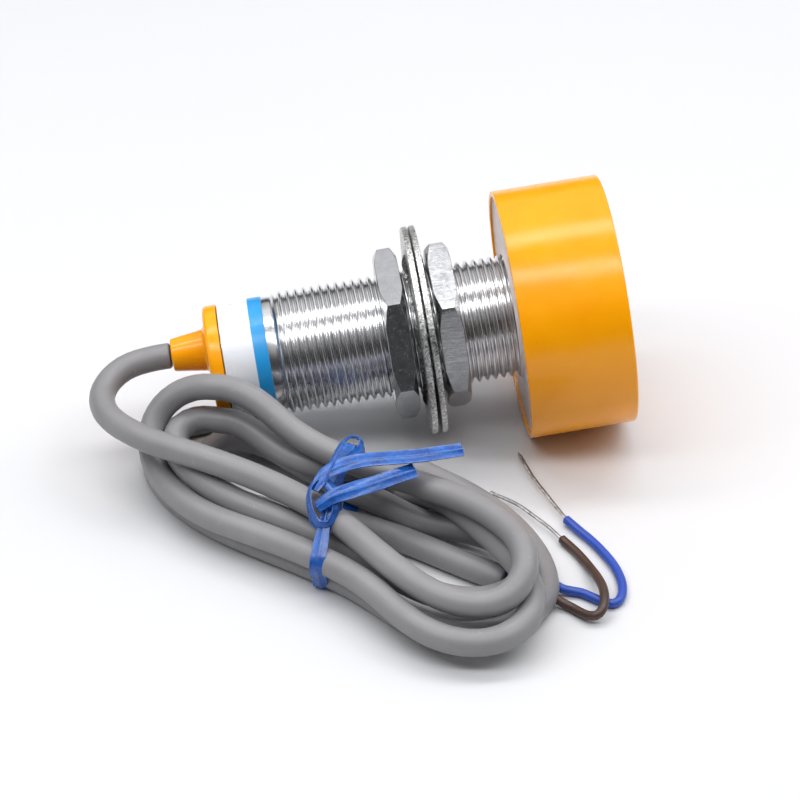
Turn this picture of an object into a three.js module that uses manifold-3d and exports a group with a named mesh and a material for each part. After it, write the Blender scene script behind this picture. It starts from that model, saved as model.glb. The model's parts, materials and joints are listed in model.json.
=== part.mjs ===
// Inductive proximity sensor: a threaded metal barrel with a large round sensing head, two thin nuts,
// two toothed lock washers, and a two-core cable wound into a tied hank.
// Millimetres, +Z up. The sensor lies on the rear rim of its head, with the barrel sloping down to its tail.
// The origin is on the surface below the middle of the sensor, without its cable.
// Along the barrel, s is the distance behind the sensing face, and r is the distance from the barrel's axis.
import * as THREE from "three";
import { mergeVertices } from "three/addons/utils/BufferGeometryUtils.js";
import Module from "manifold-3d";

const wasm = await Module();
wasm.setup();

// ---------- driving dimensions ----------
const TILT = THREE.MathUtils.degToRad(6.867);
const head = { radius: 30.5, length: 26, wall: 1.3, backInset: 0.6 };
const barrel = { radius: 14.9, frontS: 16, threadEndS: 83.2, plainRadius: 14.1, rearS: 96.4, bore: 12.4 };
const label = { frontS: 85.5, rearS: 96.2, innerRadius: 14.2, outerRadius: 14.4 };
const core = { radius: 23.5, frontS: 1.8, rearS: 12.8, grooveInner: 10, grooveOuter: 19.6, grooveRearS: 9.4, bore: 2.7 };
const cap = { radius: 14.2, frontS: 96.6, rearS: 100, spigotRadius: 12.1, spigotFrontS: 88.5, bore: 10 };
const spout = { baseRadius: 5, endRadius: 3.85, endS: 109, offset: 3.7, roll: THREE.MathUtils.degToRad(35) };
const nut = { acrossFlats: 37, thickness: 5.7, faceRadius: 19, bore: 15.15 };
const washer = { radius: 25.5, thickness: 1.5, rootRadius: 18.4, toothRadius: 15.5, teeth: 18 };
const rearNut = { s: 54.2, roll: THREE.MathUtils.degToRad(7) };
const frontNut = { s: 41.5, roll: THREE.MathUtils.degToRad(15) };
const washerS = { rear: 48.6, front: 46.4 };
const board = { frontS: 22, rearS: 82, width: 21, thickness: 1.6, z: -1 };
const cableRadius = 3.1;
const wireRadius = 1.1;
const conductorRadius = 0.35;
const hankHeight = 22.5;
const GAP = 0.3;
const ROUND = 48; // sides of a large round part
const SMALL = 24; // sides of a small round part

// ---------- materials ----------
const finish = (color, roughness, metalness) => new THREE.MeshStandardMaterial({ color, roughness, metalness });
const orangePlastic = finish(0xf59a0c, 0.38, 0);
const nickel = finish(0xc9ccd2, 0.22, 1);
const zinc = finish(0xaeb2b0, 0.42, 1);
const labelFilm = finish(0xe4e8ee, 0.35, 0);
const resin = finish(0xd9c9c2, 0.55, 0);
const ferrite = finish(0x34353a, 0.7, 0);
const copper = finish(0xb4622d, 0.35, 1);
const nylon = finish(0xefe9dc, 0.5, 0);
const boardGreen = finish(0x1d6b3c, 0.45, 0);
const blackEpoxy = finish(0x1b1b1d, 0.4, 0);
const filmYellow = finish(0xd6b53a, 0.45, 0);
const trimmerBlue = finish(0x2f6fc4, 0.4, 0);
const beige = finish(0xcdb48a, 0.5, 0);
const rubber = finish(0x202022, 0.8, 0);
const greyPvc = finish(0x98979d, 0.5, 0);
const bluePvc = finish(0x2546b4, 0.4, 0);
const brownPvc = finish(0x4b3832, 0.45, 0);
const tinned = finish(0xa9a9ac, 0.35, 1);
const tieFilm = finish(0x2f6fdc, 0.35, 0);

// ---------- solids ----------
function toSolid(geometry) {
  const bare = geometry.index ? geometry.toNonIndexed() : geometry.clone();
  bare.deleteAttribute("normal");
  bare.deleteAttribute("uv");
  const merged = mergeVertices(bare, 1e-4);
  const mesh = new wasm.Mesh({
    numProp: 3,
    vertProperties: merged.attributes.position.array,
    triVerts: new Uint32Array(merged.index.array),
  });
  return new wasm.Manifold(mesh);
}

function toGeometry(solid) {
  const { vertProperties, triVerts } = solid.getMesh();
  return new THREE.BufferGeometry()
    .setAttribute("position", new THREE.BufferAttribute(vertProperties, 3))
    .setIndex(new THREE.BufferAttribute(triVerts, 1));
}

const cut = (body, ...tools) => toGeometry(tools.reduce((all, t) => all.subtract(toSolid(t)), toSolid(body)));
const join = (...parts) => toGeometry(parts.map(toSolid).reduce((all, part) => all.add(part)));
const common = (a, b) => toGeometry(toSolid(a).intersect(toSolid(b)));

// A solid of revolution about the barrel's axis. The profile is a list of [s, r] corners, and a profile
// whose ends are off the axis closes on itself.
function turned(profile, sides = ROUND) {
  const corners = [...profile];
  const [first, last] = [corners[0], corners[corners.length - 1]];
  if (first[1] > 0 || last[1] > 0) corners.push(first);
  const area = corners.reduce((sum, [s, r], i) => {
    const [s2, r2] = corners[(i + 1) % corners.length];
    return sum + s * r2 - s2 * r;
  }, 0);
  if (area < 0) corners.reverse();
  const points = corners.map(([s, r]) => new THREE.Vector2(r, -s));
  return new THREE.LatheGeometry(points, sides).rotateZ(-Math.PI / 2);
}

// A tube of the given radius through a list of [x, y, z] points.
function tube(points, radius, sides, steps) {
  const path = new THREE.CatmullRomCurve3(points.map((p) => new THREE.Vector3(...p)), false, "centripetal");
  const section = new THREE.Shape();
  for (let i = 0; i < sides; i++) {
    const angle = (2 * Math.PI * i) / sides;
    const [x, y] = [radius * Math.cos(angle), radius * Math.sin(angle)];
    if (i) section.lineTo(x, y);
    else section.moveTo(x, y);
  }
  return new THREE.ExtrudeGeometry(section, { steps, extrudePath: path, curveSegments: sides });
}

// A flat shape in the plane across the barrel, of the given thickness, centred on s.
function plateAcross(shape, thickness, s, curveSegments = 12) {
  const options = { depth: thickness, bevelEnabled: false, curveSegments };
  const geometry = new THREE.ExtrudeGeometry(shape, options);
  return geometry.translate(0, 0, -thickness / 2).rotateY(Math.PI / 2).translate(-s, 0, 0);
}

const boxAt = (sFront, sRear, width, height, y, z) =>
  new THREE.BoxGeometry(sRear - sFront, width, height).translate(-(sFront + sRear) / 2, y, z);

function add(group, name, geometry, material) {
  const mesh = new THREE.Mesh(geometry, material);
  mesh.name = name;
  group.add(mesh);
  return mesh;
}

// ---------- sensing head ----------
function headCap() {
  const inner = head.radius - head.wall;
  const edge = 0.5;
  return turned([
    [0, 0],
    [0, head.radius - edge],
    [edge, head.radius],
    [head.length, head.radius],
    [head.length, inner],
    [head.wall, inner],
    [head.wall, 0],
  ]);
}

function ferriteCore() {
  const pot = turned([
    [core.frontS, core.bore],
    [core.frontS, core.grooveInner],
    [core.grooveRearS, core.grooveInner],
    [core.grooveRearS, core.grooveOuter],
    [core.frontS, core.grooveOuter],
    [core.frontS, core.radius],
    [core.rearS, core.radius],
    [core.rearS, core.bore],
  ]);
  const leadHoles = [-1, 1].map((side) =>
    turned([[core.grooveRearS - 1, 0], [core.grooveRearS - 1, 0.9], [core.rearS + 1, 0.9], [core.rearS + 1, 0]], 10)
      .translate(0, side * leadRadius, 0));
  return cut(pot, ...leadHoles);
}

const leadRadius = 12;
const bobbin = { frontS: 2.1, rearS: 9.1, flange: 0.8, inner: 10.3, hub: 11.3, outer: 19.3 };

function coilBobbin() {
  return turned([
    [bobbin.frontS, bobbin.inner],
    [bobbin.frontS, bobbin.outer],
    [bobbin.frontS + bobbin.flange, bobbin.outer],
    [bobbin.frontS + bobbin.flange, bobbin.hub],
    [bobbin.rearS - bobbin.flange, bobbin.hub],
    [bobbin.rearS - bobbin.flange, bobbin.outer],
    [bobbin.rearS, bobbin.outer],
    [bobbin.rearS, bobbin.inner],
  ]);
}

function coilWinding() {
  const front = bobbin.frontS + bobbin.flange + 0.2;
  const rear = bobbin.rearS - bobbin.flange - 0.2;
  const [inner, outer] = [bobbin.hub + 0.2, bobbin.outer - 0.5];
  return turned([[front, inner], [front, outer], [rear, outer], [rear, inner]]);
}

// Resin round the ferrite core and behind it, open in the middle for the barrel and the coil's leads.
function headPotting() {
  const outer = head.radius - head.wall - GAP;
  const backS = head.length - head.backInset;
  const shelfS = barrel.frontS - GAP;
  return turned([
    [core.frontS, core.radius + 0.4],
    [core.frontS, outer],
    [backS, outer],
    [backS, barrel.radius + GAP],
    [shelfS, barrel.radius + GAP],
    [shelfS, barrel.bore + 0.5],
    [core.rearS + 0.4, barrel.bore + 0.5],
    [core.rearS + 0.4, core.radius + 0.4],
  ]);
}

// ---------- barrel, label, rear cap ----------
// The thread is its major diameter here, with a chamfer at each end of it.
function barrelTube() {
  return turned([
    [barrel.frontS, barrel.bore],
    [barrel.frontS, barrel.radius - 1],
    [barrel.frontS + 1, barrel.radius],
    [barrel.threadEndS - 0.8, barrel.radius],
    [barrel.threadEndS, barrel.plainRadius],
    [barrel.rearS, barrel.plainRadius],
    [barrel.rearS, barrel.bore],
  ]);
}

function labelSleeve() {
  return turned([
    [label.frontS, label.innerRadius],
    [label.frontS, label.outerRadius],
    [label.rearS, label.outerRadius],
    [label.rearS, label.innerRadius],
  ]);
}

const sealGroove = { frontS: 91.8, rearS: 93.9, floor: 10.9 };
const spoutY = spout.offset * Math.sin(spout.roll);
const spoutZ = spout.offset * Math.cos(spout.roll);

// The cap's spigot plugs the barrel. Its flange has a rounded rim, and its spout stands off the axis.
function rearCap() {
  const rim = 0.9;
  const wall = 1.6;
  const shell = turned([
    [cap.spigotFrontS, cap.bore],
    [cap.spigotFrontS, cap.spigotRadius],
    [sealGroove.frontS, cap.spigotRadius],
    [sealGroove.frontS, sealGroove.floor],
    [sealGroove.rearS, sealGroove.floor],
    [sealGroove.rearS, cap.spigotRadius],
    [cap.frontS, cap.spigotRadius],
    [cap.frontS, cap.radius - 0.3],
    [cap.frontS + 0.3, cap.radius],
    [cap.rearS - rim, cap.radius],
    [cap.rearS - 0.3 * rim, cap.radius - 0.3 * rim],
    [cap.rearS, cap.radius - rim],
    [cap.rearS, 0],
    [cap.rearS - wall, 0],
    [cap.rearS - wall, cap.bore],
  ]);
  const reliefBody = turned([
    [cap.rearS - 0.5, 0],
    [cap.rearS - 0.5, spout.baseRadius],
    [spout.endS - 0.6, spout.endRadius],
    [spout.endS, spout.endRadius - 0.4],
    [spout.endS, 0],
  ], SMALL).translate(0, spoutY, spoutZ);
  const passage = turned([
    [cap.rearS - 4, 0],
    [cap.rearS - 4, cableRadius + 0.2],
    [spout.endS + 1, cableRadius + 0.2],
    [spout.endS + 1, 0],
  ], SMALL).translate(0, spoutY, spoutZ);
  return cut(join(shell, reliefBody), passage);
}

function capSeal() {
  const ring = { s: (sealGroove.frontS + sealGroove.rearS) / 2, r: sealGroove.floor + 0.75, radius: 0.62 };
  const profile = [];
  for (let i = 0; i < 8; i++) {
    const angle = (2 * Math.PI * i) / 8;
    profile.push([ring.s + ring.radius * Math.cos(angle), ring.r + ring.radius * Math.sin(angle)]);
  }
  return turned(profile, 32);
}

// ---------- parts inside the barrel ----------
function insulationSleeve() {
  return turned([[20, 11.6], [20, 12.1], [84, 12.1], [84, 11.6]]);
}

function rearPotting() {
  return turned([[84.6, 5.5], [84.6, 12.1], [88.1, 12.1], [88.1, 5.5]]);
}

const boardTop = board.z + board.thickness / 2 + 0.2;
const boardUnder = board.z - board.thickness / 2 - 0.2;

// A round body lying along the barrel, with eased ends.
function lyingBody(frontS, rearS, radius, y, z, sides = 16) {
  const ease = radius * 0.2;
  return turned([
    [frontS, 0],
    [frontS, radius - ease],
    [frontS + ease, radius],
    [rearS - ease, radius],
    [rearS, radius - ease],
    [rearS, 0],
  ], sides).translate(0, y, z);
}

// A small package with a flat back and a rounded top.
function thyristorBody() {
  const outline = new THREE.Shape([[0, -2.3], [0, 2.3], [-1.6, 2.3], [-3.1, 1.6], [-3.8, 0], [-3.1, -1.6], [-1.6, -2.3]]
    .map(([x, y]) => new THREE.Vector2(x, y)));
  return plateAcross(outline, 4.6, 63).translate(0, -3.8, boardTop);
}

function trimmerBody() {
  const rotor = new THREE.CylinderGeometry(1.5, 1.5, 1.4, 16).rotateX(Math.PI / 2);
  const body = boxAt(25, 30.5, 5.5, 2.6, 0, boardTop + 1.3);
  return join(body, rotor.translate(-27.75, 0, boardTop + 2.9));
}

function addElectronics(group) {
  const boardMiddle = boxAt(board.frontS, board.rearS, board.width, board.thickness, 0, board.z);
  add(group, "circuit_board", boardMiddle, boardGreen);
  add(group, "bridge_rectifier", boxAt(68.5, 76.5, 6.5, 5, 2.5, boardTop + 2.5), blackEpoxy);
  add(group, "thyristor", thyristorBody(), blackEpoxy);
  add(group, "smoothing_capacitor", lyingBody(47.5, 58, 3.1, 3.6, boardTop + 3.1), trimmerBlue);
  add(group, "film_capacitor", boxAt(36.5, 43.5, 4, 6, -3.5, boardTop + 3), filmYellow);
  add(group, "sensitivity_trimmer", trimmerBody(), trimmerBlue);
  add(group, "oscillator_chip", boxAt(31, 36, 4, 1.6, 0, boardUnder - 0.8), blackEpoxy);
  add(group, "dropper_resistor", lyingBody(51, 60, 1.6, -4, boardUnder - 1.6, 12), beige);
  add(group, "zener_diode", lyingBody(42.5, 46.5, 1, 3.5, boardUnder - 1, 12), blackEpoxy);
}

// Thin leads from the coil, through the core, to the front edge of the board.
function addCoilLeads(group) {
  [["coil_lead_left", 1], ["coil_lead_right", -1]].forEach(([name, side]) => {
    const route = [
      [-bobbin.rearS - 0.25, side * leadRadius, 0],
      [-core.rearS, side * leadRadius, 0],
      [-15, side * 10.6, 0],
      [-19, side * 6, 0.4],
      [-board.frontS - 2.5, side * 4.6, boardTop + 0.5],
    ];
    add(group, name, tube(route, 0.3, 6, 10), copper);
  });
}

// The cable's end inside the cap, its crimp ring, and the two cores on to the board.
function addCableEntry(group) {
  const endS = 92.5;
  const jacket = turned([
    [endS, 0],
    [endS, cableRadius],
    [spout.endS - 0.4, cableRadius],
    [spout.endS - 0.4, 0],
  ], SMALL).translate(0, spoutY, spoutZ);
  add(group, "cable_end_inside", jacket, greyPvc);
  const inner = cableRadius + 0.15;
  const crimp = turned([[93.5, inner], [93.5, inner + 0.9], [95.9, inner + 0.9], [95.9, inner]], SMALL)
    .translate(0, spoutY, spoutZ);
  add(group, "cable_crimp_ring", crimp, nickel);
  [["core_wire_blue", 1, bluePvc], ["core_wire_brown", -1, brownPvc]].forEach(([name, side, material]) => {
    const route = [
      [-endS + 0.3, spoutY + side * 1.4, spoutZ],
      [-90.5, spoutY + side * 1.5, spoutZ],
      [-86.5, side * 2.8, 2],
      [-83, side * 3.4, boardTop + 1.1],
      [-78.5, side * 5.8 - 2.6, boardTop + 0.9],
    ];
    add(group, name, tube(route, 0.75, 8, 10), material);
  });
}

// ---------- nuts and washers ----------
function hexNut(place) {
  const corner = nut.acrossFlats / Math.sqrt(3);
  const half = nut.thickness / 2;
  const chamfer = (corner - nut.faceRadius) * Math.tan(Math.PI / 6);
  const hexagon = new THREE.Shape();
  for (let i = 0; i < 6; i++) {
    const angle = (Math.PI / 3) * i + Math.PI / 6 + place.roll;
    const [x, y] = [corner * Math.cos(angle), corner * Math.sin(angle)];
    if (i) hexagon.lineTo(x, y);
    else hexagon.moveTo(x, y);
  }
  hexagon.closePath();
  const prism = plateAcross(hexagon, nut.thickness, place.s);
  const chamfered = turned([
    [place.s - half, nut.bore + 0.7],
    [place.s - half, nut.faceRadius],
    [place.s - half + chamfer, corner + 0.01],
    [place.s + half - chamfer, corner + 0.01],
    [place.s + half, nut.faceRadius],
    [place.s + half, nut.bore + 0.7],
    [place.s + half - 0.7, nut.bore],
    [place.s - half + 0.7, nut.bore],
  ]);
  return common(prism, chamfered);
}

// A ring whose inner edge is cut into flat teeth.
function toothedWasher(s) {
  const outline = new THREE.Shape().absarc(0, 0, washer.radius, 0, 2 * Math.PI, false);
  const bore = new THREE.Path();
  const toothAngle = (2 * Math.PI) / washer.teeth;
  for (let i = 0; i < washer.teeth; i++) {
    const start = i * toothAngle;
    const corners = [
      [washer.toothRadius, 0.12],
      [washer.toothRadius, 0.58],
      [washer.rootRadius, 0.68],
      [washer.rootRadius, 1.02],
    ];
    corners.forEach(([radius, part], j) => {
      const angle = start + part * toothAngle;
      const [x, y] = [radius * Math.cos(angle), radius * Math.sin(angle)];
      if (i || j) bore.lineTo(x, y);
      else bore.moveTo(x, y);
    });
  }
  bore.closePath();
  outline.holes.push(bore);
  return plateAcross(outline, washer.thickness, s, ROUND / 2);
}

// ---------- cable, on the surface in front of the sensor ----------
// From the spout the cable loops round its left side and rises over the end of the hank.
const leadRoute = [
  [-56.2, 2.1, 23.35],
  [-59.6, 2.2, 22.9],
  [-62.4, 2.1, 22.4],
  [-65.4, 1.7, 21.8],
  [-68.3, 0.8, 20.9],
  [-71.1, -1.7, 20],
  [-73, -5.2, 19.2],
  [-73.5, -9.2, 18.8],
  [-72.5, -14.3, 18.7],
  [-69.8, -19.4, 18.9],
  [-67.3, -22.6, 19.1],
  [-65.2, -24.9, 19.2],
];

// The outer edge of the whole hank, seen from above, which fans out towards its right end.
const hankOutline = [
  [-64, -27], [-60.5, -36], [-49, -48], [-27, -66], [-9, -87], [4, -99], [16, -99], [23.5, -87],
  [25.2, -70], [20.5, -47], [7, -33], [-15, -28], [-31, -20], [-46, -17.2], [-57, -19],
];

function hankSolid() {
  const edge = new THREE.CatmullRomCurve3(
    hankOutline.map(([x, y]) => new THREE.Vector3(x, y, 0)), true, "centripetal");
  const outline = new THREE.Shape(edge.getPoints(60).slice(0, -1).map((p) => new THREE.Vector2(p.x, p.y)));
  return new THREE.ExtrudeGeometry(outline, { depth: hankHeight, bevelEnabled: false });
}

// The tie is a strap over the hank, a knot on top of it, and two loose tails.
const tie = { x: -21, y: -46.5, turn: THREE.MathUtils.degToRad(74), width: 4, thickness: 0.8, near: 27, far: 24.5 };

function tieSolid() {
  const top = hankHeight + GAP;
  const strap = new THREE.Shape();
  strap.moveTo(-tie.near - tie.thickness, 0);
  strap.lineTo(-tie.near, 0);
  strap.lineTo(-tie.near, top);
  strap.lineTo(tie.far, top);
  strap.lineTo(tie.far, 0);
  strap.lineTo(tie.far + tie.thickness, 0);
  strap.lineTo(tie.far + tie.thickness, top + tie.thickness);
  strap.lineTo(-tie.near - tie.thickness, top + tie.thickness);
  const band = new THREE.ExtrudeGeometry(strap, { depth: tie.width, bevelEnabled: false })
    .translate(0, 0, -tie.width / 2).rotateX(Math.PI / 2).rotateZ(tie.turn);
  const knot = new THREE.SphereGeometry(3.2, 12, 8).scale(1, 1.2, 0.7).translate(-2, -7, top + 2);
  const tails = [[-8, 34], [-22, 30]].map(([degrees, length]) =>
    new THREE.BoxGeometry(length, 4, 0.6)
      .translate(length / 2, 0, 0)
      .rotateZ(THREE.MathUtils.degToRad(degrees + 30))
      .translate(-2, -7, top + 2 + (degrees > -10 ? 0.5 : -0.5)));
  return join(band, knot, ...tails).translate(tie.x, tie.y, 0);
}

// The cores leave the hank's right end, loop back on the surface, and end in bare strands.
const blueWireRoute = [
  [27.6, -71.4, 2.6], [29, -72, 1.9], [31, -72.4, 1.4], [33.4, -73.2, 1.2], [35.7, -75.2, 1.2], [37.9, -77, 1.2],
  [40, -77.8, 1.2], [41.6, -76.6, 1.2], [42.8, -73.6, 1.2], [43.2, -69.4, 1.2], [42.6, -64.4, 1.2],
  [41, -59.2, 1.2], [39, -54.4, 1.2], [36.9, -50.6, 1.3], [35.2, -47.6, 1.5], [34.2, -45.8, 1.6],
];
const brownWireRoute = [
  [26.4, -75.6, 2.6], [28, -76.6, 1.8], [30, -78, 1.3], [32, -80.4, 1.4], [33.8, -82.4, 1.9], [35.4, -83, 2.6],
  [36.8, -81.6, 3.3], [37.7, -78.2, 3.8], [37.9, -74.4, 3.6], [37.5, -70, 2.9], [36.9, -66, 2], [36, -62, 1.4],
  [34.8, -58.4, 1.2], [33.4, -55.4, 1.2], [32, -52.9, 1.4],
];
const blueStrandRoute = [[34, -45.4, 1.6], [32.8, -41.8, 1.9], [31, -36.4, 2.2], [28.9, -29.2, 2.2], [27, -18.6, 1.8]];
const brownStrandRoute = [[31.7, -52.5, 1.4], [29.6, -48.6, 1.8], [27, -44.6, 2], [23.6, -39.4, 2], [17.6, -33.6, 2]];

function addCable(group) {
  add(group, "cable_lead", tube(leadRoute, cableRadius, 10, 14), greyPvc);
  add(group, "cable_hank", hankSolid(), greyPvc);
  add(group, "cable_tie", tieSolid(), tieFilm);
  add(group, "wire_blue", tube(blueWireRoute, wireRadius, 8, 16), bluePvc);
  add(group, "wire_brown", tube(brownWireRoute, wireRadius, 8, 16), brownPvc);
  add(group, "strands_blue", tube(blueStrandRoute, conductorRadius, 6, 5), tinned);
  add(group, "strands_brown", tube(brownStrandRoute, conductorRadius, 6, 5), tinned);
}

// ---------- assembly ----------
function sensorAssembly() {
  const sensor = new THREE.Group();
  add(sensor, "head_cap", headCap(), orangePlastic);
  add(sensor, "ferrite_core", ferriteCore(), ferrite);
  add(sensor, "coil_bobbin", coilBobbin(), nylon);
  add(sensor, "coil_winding", coilWinding(), copper);
  add(sensor, "head_potting", headPotting(), resin);
  add(sensor, "barrel", barrelTube(), nickel);
  add(sensor, "label_sleeve", labelSleeve(), labelFilm);
  add(sensor, "rear_cap", rearCap(), orangePlastic);
  add(sensor, "cap_seal", capSeal(), rubber);
  add(sensor, "insulation_sleeve", insulationSleeve(), nylon);
  add(sensor, "rear_potting", rearPotting(), resin);
  addElectronics(sensor);
  addCoilLeads(sensor);
  addCableEntry(sensor);
  add(sensor, "nut_rear", hexNut(rearNut), nickel);
  add(sensor, "nut_front", hexNut(frontNut), nickel);
  add(sensor, "washer_rear", toothedWasher(washerS.rear), zinc);
  add(sensor, "washer_front", toothedWasher(washerS.front), zinc);
  return sensor;
}

// The sensor is tilted about its sensing face, then moved so that the rear rim of the head touches the
// surface and the middle of its length is over the origin.
function placeSensor(sensor) {
  const [sin, cos] = [Math.sin(TILT), Math.cos(TILT)];
  const frontX = head.radius * sin;
  const tailX = -spout.endS * cos - (spoutZ + spout.endRadius - 0.4) * sin;
  sensor.rotation.y = -TILT;
  sensor.position.set(-(frontX + tailX) / 2, 0, head.length * sin + head.radius * cos);
  return sensor;
}

const part = new THREE.Group();
part.add(placeSensor(sensorAssembly()));
addCable(part);

export default part;
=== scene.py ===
"""Looks of an inductive proximity sensor: threaded barrel, large head, nuts, toothed washers, tied cable.

Lengths are in millimetres until a mesh is made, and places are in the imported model's frame.
Along the barrel, s is the distance behind the sensing face, and r is the distance from the barrel's axis.
"""

import json
import math

import bmesh
import bpy
import numpy as np
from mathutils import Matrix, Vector


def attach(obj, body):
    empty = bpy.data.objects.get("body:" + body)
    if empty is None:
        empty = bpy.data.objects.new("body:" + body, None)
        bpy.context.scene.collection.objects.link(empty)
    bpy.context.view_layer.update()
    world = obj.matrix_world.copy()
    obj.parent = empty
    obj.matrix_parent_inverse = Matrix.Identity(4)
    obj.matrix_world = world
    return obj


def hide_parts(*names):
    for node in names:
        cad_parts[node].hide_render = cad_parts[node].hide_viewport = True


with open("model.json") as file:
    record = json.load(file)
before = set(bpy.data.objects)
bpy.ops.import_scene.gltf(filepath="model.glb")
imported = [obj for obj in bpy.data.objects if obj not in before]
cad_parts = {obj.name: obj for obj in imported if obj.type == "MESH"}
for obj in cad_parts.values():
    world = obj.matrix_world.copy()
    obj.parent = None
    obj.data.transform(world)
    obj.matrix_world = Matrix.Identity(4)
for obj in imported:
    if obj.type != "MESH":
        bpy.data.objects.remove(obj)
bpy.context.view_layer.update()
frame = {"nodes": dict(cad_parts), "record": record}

MM = 0.001
TAU = 2 * math.pi
UP = np.array([0.0, 0.0, 1.0])


# ---------- the sensor's own axes ----------
face = next(m for m in frame["record"]["mounts"] if m["name"] == "sensing_face")
FACE_CENTRE = np.array(face["pos_m"]) / MM
ALONG = np.array(face["axis"]) / np.linalg.norm(face["axis"])
ACROSS = np.array([0.0, 1.0, 0.0])
UPWARD = np.cross(ALONG, ACROSS)


def on_sensor(s, y, z):
    """Points of the frame, in mm, from the distance behind the sensing face and the two across the barrel."""
    s, y, z = np.broadcast_arrays(np.asarray(s, float), y, z)
    return FACE_CENTRE - s[..., None] * ALONG + y[..., None] * ACROSS + z[..., None] * UPWARD


def around(count):
    """Evenly spaced angles round a full turn."""
    return np.arange(count) * TAU / count


def add_object(name, data):
    thing = bpy.data.objects.new(name, data)
    bpy.context.collection.objects.link(thing)
    return thing


# ---------- camera and light ----------
CAMERA_AT = (-66.735, -577.842, 414.366)
CAMERA_LOOKS_AT = (-0.944, -6.353, 11.562)
LENS_MM = 128.7
SENSOR_MM = 36


def add_camera():
    data = bpy.data.cameras.new("camera")
    data.lens = LENS_MM
    data.sensor_width = SENSOR_MM
    data.clip_start = 0.01
    camera = add_object("camera", data)
    camera.location = Vector(CAMERA_AT) * MM
    direction = (Vector(CAMERA_LOOKS_AT) - Vector(CAMERA_AT)) * MM
    camera.rotation_euler = direction.to_track_quat("-Z", "Y").to_euler()
    bpy.context.scene.camera = camera


def add_softbox(name, place, target, size, power):
    """A rectangular light of a size in m and a power in W, facing its target."""
    data = bpy.data.lights.new(name, "AREA")
    data.shape = "RECTANGLE"
    data.size, data.size_y = size
    data.energy = power
    light = add_object(name, data)
    light.location = place
    light.rotation_euler = (Vector(target) - Vector(place)).to_track_quat("-Z", "Y").to_euler()


def add_world(colour, horizon, zenith):
    """A dome that is dim round the horizon and bright overhead."""
    world = bpy.data.worlds.new("studio")
    bpy.context.scene.world = world
    world.use_nodes = True
    nodes, links = world.node_tree.nodes, world.node_tree.links
    background = nodes["Background"]
    background.inputs["Color"].default_value = (*colour, 1)
    height = nodes.new("ShaderNodeSeparateXYZ")
    links.new(nodes.new("ShaderNodeTexCoord").outputs["Generated"], height.inputs[0])
    ramp = nodes.new("ShaderNodeMapRange")
    ramp.interpolation_type = "SMOOTHSTEP"
    for socket, value in (("From Min", 0.35), ("From Max", 0.8), ("To Min", horizon), ("To Max", zenith)):
        ramp.inputs[socket].default_value = value
    links.new(height.outputs["Z"], ramp.inputs["Value"])
    links.new(ramp.outputs["Result"], background.inputs["Strength"])


def add_studio():
    """Long strips over the barrel, each with a narrow tube for its sharp highlight, and panels all round."""
    bpy.context.scene.view_settings.view_transform = "Standard"
    add_world((0.98, 0.98, 1.0), 0.06, 0.5)
    add_softbox("strip_behind", (-0.05, 0.20, 0.85), (-0.05, 0.02, 0), (1.3, 0.22), 4.0)
    add_softbox("tube_behind", (-0.05, 0.18, 0.84), (-0.05, 0, 0.03), (1.3, 0.03), 0.9)
    add_softbox("strip_before", (-0.1, -0.34, 0.82), (-0.05, -0.04, 0), (1.3, 0.2), 3.7)
    add_softbox("tube_before", (-0.1, -0.33, 0.81), (-0.05, 0, 0.03), (1.3, 0.03), 0.8)
    add_softbox("panel_left", (-0.95, -0.1, 0.6), (0, 0, 0.02), (0.5, 0.9), 1.6)
    add_softbox("panel_right", (0.85, 0.1, 0.75), (0, 0, 0.02), (0.6, 0.9), 3.4)
    add_softbox("panel_back", (0.05, 0.78, 0.72), (0, 0, 0.02), (1.6, 0.9), 2.1)


# ---------- meshes ----------
def finish_mesh(name, bm, sharp_degrees=32):
    """A new object from a bmesh in mm, with its normals outward and its sharp edges marked."""
    bmesh.ops.remove_doubles(bm, verts=bm.verts, dist=1e-4)
    bmesh.ops.dissolve_degenerate(bm, edges=bm.edges, dist=1e-5)
    bmesh.ops.recalc_face_normals(bm, faces=bm.faces)
    bmesh.ops.scale(bm, vec=(MM, MM, MM), verts=bm.verts)
    data = bpy.data.meshes.new(name)
    bm.to_mesh(data)
    bm.free()
    data.shade_smooth()
    data.set_sharp_from_angle(angle=math.radians(sharp_degrees))
    return add_object(name, data)


def grid_faces(bm, rows, close_columns=False):
    """Quads between closed rows of bmesh vertices. A row of one vertex is a pole."""
    count = len(rows)
    for i in range(count if close_columns else count - 1):
        a, b = rows[i], rows[(i + 1) % count]
        sides = max(len(a), len(b))
        for j in range(sides):
            k = (j + 1) % sides
            if len(a) == 1:
                corners = [a[0], b[j], b[k]]
            elif len(b) == 1:
                corners = [a[j], b[0], a[k]]
            else:
                corners = [a[j], b[j], b[k], a[k]]
            bm.faces.new(corners)


def revolve(name, profile, sides=128, centre=(0, 0), wobble=None):
    """A solid of revolution from [s, r] corners. A profile that starts off the axis closes on itself."""
    angles = around(sides)
    bm = bmesh.new()
    rows = []
    for s, r in profile:
        if r < 1e-6:
            rows.append([bm.verts.new(on_sensor(s, centre[0], centre[1]))])
            continue
        along = s + (wobble(s, r, angles) if wobble else 0)
        points = on_sensor(along, centre[0] + r * np.cos(angles), centre[1] + r * np.sin(angles))
        rows.append([bm.verts.new(p) for p in points])
    grid_faces(bm, rows, close_columns=profile[0][1] > 1e-6)
    return finish_mesh(name, bm)


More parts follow.
